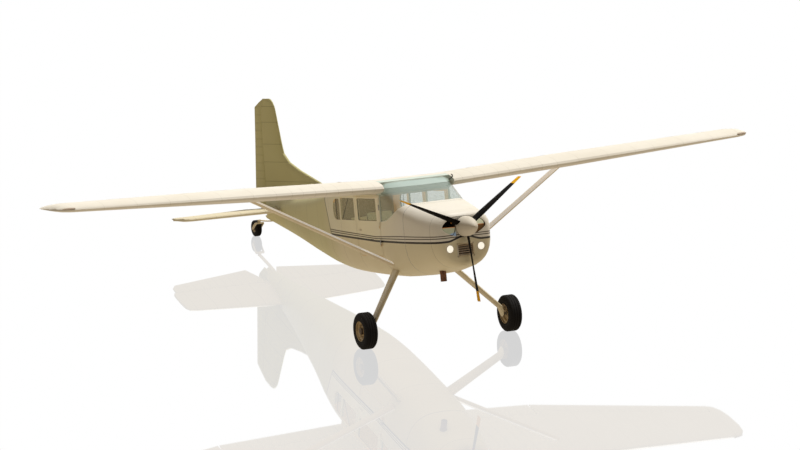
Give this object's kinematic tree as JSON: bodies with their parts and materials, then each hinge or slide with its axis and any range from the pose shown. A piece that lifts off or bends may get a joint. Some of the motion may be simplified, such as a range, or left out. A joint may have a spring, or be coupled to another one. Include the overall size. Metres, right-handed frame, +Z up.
{
  "type": "light aircraft",
  "caption": "High-wing light aircraft on a tail-wheel gear, with strut-braced wings, a hollow cabin, hinged doors, control surfaces and a turning propeller.",
  "frame": {"origin": "bottom centre of the bounding box, on the ground the tyres stand on", "axes": "+Z up, -Y towards the nose as it stands, +X to the aircraft's own left wing tip"},
  "size_m": [10.92, 7.9978, 2.507],
  "materials": {
    "cream_paint": "semi-gloss cream enamel",
    "khaki_paint": "semi-gloss khaki enamel with dark stripes",
    "clear_glass": "clear acrylic sheet with a faint green tint",
    "tyre_rubber": "matt black rubber",
    "black_blade": "satin black with yellow tips",
    "wheel_paint": "satin tan",
    "bare_steel": "satin steel",
    "rusty_steel": "heat-stained rusty steel",
    "engine_metal": "dull dark metal",
    "dark_grille": "dark brown louvres",
    "panel_black": "matt black crackle",
    "seat_fabric": "tan woven cloth",
    "cabin_lining": "tan lining",
    "lamp_glass": "clear lamp lens over a pale reflector"
  },
  "bodies": {
    "airframe": {"air_grille": "dark_grille", "axle_left": "bare_steel", "axle_right": "bare_steel", "cabin_floor": "cabin_lining", "cabin_shell": "khaki_paint", "cowl": "cream_paint", "engine_block": "engine_metal", "exhaust_pipe": "rusty_steel", "fin": "cream_paint", "firewall": "bare_steel", "gear_leg_left": "cream_paint", "gear_leg_right": "cream_paint", "instrument_panel": "panel_black", "landing_light_left": "lamp_glass", "landing_light_right": "lamp_glass", "nose_bowl": "khaki_paint", "seat_front_left": "seat_fabric", "seat_front_right": "seat_fabric", "seat_middle": "seat_fabric", "seat_rear": "seat_fabric", "stabiliser_left": "cream_paint", "stabiliser_right": "cream_paint", "strut_left": "cream_paint", "strut_right": "cream_paint", "tail_spring": "bare_steel", "tailcone": "khaki_paint", "window_middle_left": "clear_glass", "window_middle_right": "clear_glass", "window_rear_left": "clear_glass", "window_rear_right": "clear_glass", "windscreen": "clear_glass", "wing_centre_section": "cream_paint", "wing_left": "cream_paint", "wing_right": "cream_paint"},
    "propeller": {"propeller": "black_blade", "spinner": "cream_paint"},
    "wheel_left": {"tyre_main_left": "tyre_rubber", "rim_main_left": "wheel_paint"},
    "wheel_right": {"tyre_main_right": "tyre_rubber", "rim_main_right": "wheel_paint"},
    "tail_swivel": {"tail_fork": "bare_steel"},
    "tail_wheel": {"tyre_tail": "tyre_rubber", "rim_tail": "wheel_paint"},
    "door_left": {"door_left": "khaki_paint", "window_door_left": "clear_glass"},
    "door_right": {"door_right": "khaki_paint", "window_door_right": "clear_glass"},
    "flap_left": {"flap_left": "cream_paint"},
    "flap_right": {"flap_right": "cream_paint"},
    "aileron_left": {"aileron_left": "cream_paint"},
    "aileron_right": {"aileron_right": "cream_paint"},
    "elevator": {"elevator_left": "cream_paint", "elevator_right": "cream_paint"},
    "rudder": {"rudder": "cream_paint"}
  },
  "joints": [
    {"name": "propeller_spin", "type": "hinge", "parent": "airframe", "child": "propeller", "pos_m": [0, -3.723, 1.897], "axis": [0, -0.9781, 0.2079], "continuous": true},
    {"name": "wheel_left_spin", "type": "hinge", "parent": "airframe", "child": "wheel_left", "pos_m": [1.134, -2.75, 0.264], "axis": [1, 0, 0], "continuous": true},
    {"name": "wheel_right_spin", "type": "hinge", "parent": "airframe", "child": "wheel_right", "pos_m": [-1.134, -2.75, 0.264], "axis": [1, 0, 0], "continuous": true},
    {"name": "tail_steer", "type": "hinge", "parent": "airframe", "child": "tail_swivel", "pos_m": [0, 3.76025, 0.26038], "axis": [0, 0.2079, 0.9781], "range_deg": [-90, 90]},
    {"name": "tail_wheel_spin", "type": "hinge", "parent": "tail_swivel", "child": "tail_wheel", "pos_m": [0, 3.874, 0.125], "axis": [1, 0, 0], "continuous": true},
    {"name": "door_left_hinge", "type": "hinge", "parent": "airframe", "child": "door_left", "pos_m": [0.575, -2.00439, 1.5317], "axis": [0, -0.2079, -0.9781], "range_deg": [0, 70]},
    {"name": "door_right_hinge", "type": "hinge", "parent": "airframe", "child": "door_right", "pos_m": [-0.575, -2.00439, 1.5317], "axis": [0, 0.2079, 0.9781], "range_deg": [0, 70]},
    {"name": "flap_left_hinge", "type": "hinge", "parent": "airframe", "child": "flap_left", "pos_m": [0.696, -0.82643, 1.85371], "axis": [-0.9989, -0.01, -0.0467], "range_deg": [0, 40]},
    {"name": "flap_right_hinge", "type": "hinge", "parent": "airframe", "child": "flap_right", "pos_m": [-0.696, -0.82643, 1.85371], "axis": [-0.9989, 0.01, 0.0467], "range_deg": [0, 40]},
    {"name": "aileron_left_hinge", "type": "hinge", "parent": "airframe", "child": "aileron_left", "pos_m": [2.512, -0.72317, 1.91457], "axis": [-0.9849, 0.1484, -0.0888], "range_deg": [-20, 20]},
    {"name": "aileron_right_hinge", "type": "hinge", "parent": "airframe", "child": "aileron_right", "pos_m": [-2.512, -0.72317, 1.91457], "axis": [-0.9849, -0.1484, 0.0888], "range_deg": [-20, 20]},
    {"name": "elevator_hinge", "type": "hinge", "parent": "airframe", "child": "elevator", "pos_m": [0, 3.26196, 0.57588], "axis": [-1, 0, 0], "range_deg": [-26, 22]},
    {"name": "rudder_hinge", "type": "hinge", "parent": "airframe", "child": "rudder", "pos_m": [0, 3.39234, 0.46126], "axis": [0, 0.1603, 0.9871], "range_deg": [-24, 24]}
  ],
  "couplings": [
    {"joint": "flap_right_hinge", "follows": "flap_left_hinge", "ratio": 1},
    {"joint": "aileron_right_hinge", "follows": "aileron_left_hinge", "ratio": -1}
  ]
}
